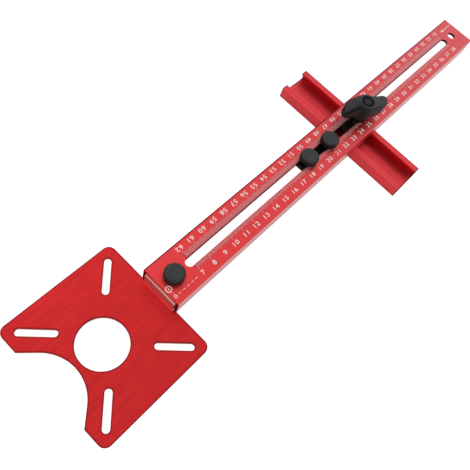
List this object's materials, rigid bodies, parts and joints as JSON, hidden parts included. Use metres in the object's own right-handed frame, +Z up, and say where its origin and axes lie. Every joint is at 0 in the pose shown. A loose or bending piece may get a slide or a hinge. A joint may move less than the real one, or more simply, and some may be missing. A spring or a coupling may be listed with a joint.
{
  "type": "router guide jig",
  "caption": "Red router base plate with a long slotted scale arm, a pivot bar for circles and a cross fence, each held by black knobs.",
  "frame": {"origin": "centre of the router opening, on the underside of the base plate", "axes": "+X along the arm away from the router, +Y to the left of the arm, +Z up through the plate"},
  "size_m": [0.442, 0.12, 0.0422],
  "materials": {
    "plate_anodised": "red anodised, brushed along the arm",
    "arm_anodised": "red anodised, drawn along its length",
    "rail_anodised": "red anodised, drawn along its length",
    "bar_black": "black anodised, satin",
    "knob_black": "moulded, satin",
    "wing_black": "moulded, satin",
    "block_black": "moulded, plain",
    "washer_black": "blackened",
    "zinc_steel": "zinc plated"
  },
  "bodies": {
    "base": {"base_plate": "plate_anodised", "tongue_nut": "zinc_steel", "arm_channel": "arm_anodised", "clamp_washer": "washer_black"},
    "clamp_knob": {"clamp_knob": "knob_black", "clamp_stud": "zinc_steel"},
    "pivot_slider": {"pivot_bar": "bar_black", "pivot_pin": "zinc_steel", "pivot_washer_near": "washer_black", "pivot_washer_far": "washer_black"},
    "pivot_knob_near": {"pivot_knob_near": "knob_black", "pivot_stud_near": "zinc_steel"},
    "pivot_knob_far": {"pivot_knob_far": "knob_black", "pivot_stud_far": "zinc_steel"},
    "fence_carriage": {"fence_guide_block": "block_black", "fence_nut": "zinc_steel", "fence_washer": "washer_black"},
    "wing_knob": {"wing_knob": "wing_black", "wing_cap": "wing_black", "fence_stud": "zinc_steel"},
    "fence_rail": {"fence_rail": "rail_anodised"}
  },
  "joints": [
    {"name": "clamp_knob_turn", "type": "hinge", "parent": "base", "child": "clamp_knob", "pos_m": [0.0551, 0, 0.015], "axis": [0, 0, 1], "continuous": true},
    {"name": "pivot_slide", "type": "slide", "parent": "base", "child": "pivot_slider", "axis": [1, 0, 0], "range_m": [-0.11, 0.005]},
    {"name": "pivot_knob_near_turn", "type": "hinge", "parent": "pivot_slider", "child": "pivot_knob_near", "pos_m": [0.1867, 0, 0.015], "axis": [0, 0, 1], "continuous": true},
    {"name": "pivot_knob_far_turn", "type": "hinge", "parent": "pivot_slider", "child": "pivot_knob_far", "pos_m": [0.2108, 0, 0.015], "axis": [0, 0, 1], "continuous": true},
    {"name": "fence_slide", "type": "slide", "parent": "base", "child": "fence_carriage", "axis": [1, 0, 0], "range_m": [-0.005, 0.129]},
    {"name": "wing_knob_turn", "type": "hinge", "parent": "fence_carriage", "child": "wing_knob", "pos_m": [0.2496, 0, 0.015], "axis": [0, 0, 1], "continuous": true},
    {"name": "rail_slide", "type": "slide", "parent": "fence_carriage", "child": "fence_rail", "axis": [0, 1, 0], "range_m": [-0.045, 0.045]}
  ]
}
